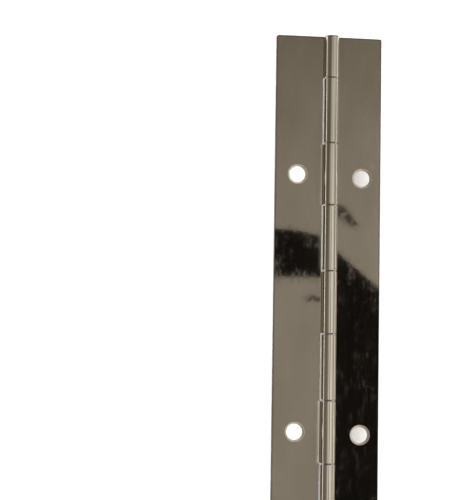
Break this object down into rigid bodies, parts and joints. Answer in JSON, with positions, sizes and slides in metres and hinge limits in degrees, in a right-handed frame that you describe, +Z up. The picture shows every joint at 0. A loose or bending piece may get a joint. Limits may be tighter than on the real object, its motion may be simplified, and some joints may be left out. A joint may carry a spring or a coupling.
{
  "type": "piano hinge",
  "caption": "Long narrow sheet-metal hinge with two flat screw-drilled leaves and interleaved rolled knuckles turning on one continuous wire pin.",
  "frame": {"origin": "centre of the bottom of the bounding box, in the plane of the two leaves' back faces with the hinge open flat", "axes": "+X across the hinge from the left leaf to the right leaf, +Y along the pin towards the end with the longer cut knuckle, +Z up out of the countersunk side, towards the barrel"},
  "size_m": [0.0252, 0.24, 0.0034],
  "materials": {
    "leaf_plating": "bright nickel plating on thin sheet steel, mirror-like with slight waves and fine rub marks",
    "pin_wire": "drawn steel wire, satin"
  },
  "bodies": {
    "left_side": {"left_leaf": "leaf_plating", "pin": "pin_wire"},
    "right_side": {"right_leaf": "leaf_plating"}
  },
  "joints": [
    {"name": "leaf_swing", "type": "hinge", "parent": "left_side", "child": "right_side", "pos_m": [0.0004, 0, 0.0017], "axis": [0, -1, 0], "range_deg": [-90, 188]}
  ]
}
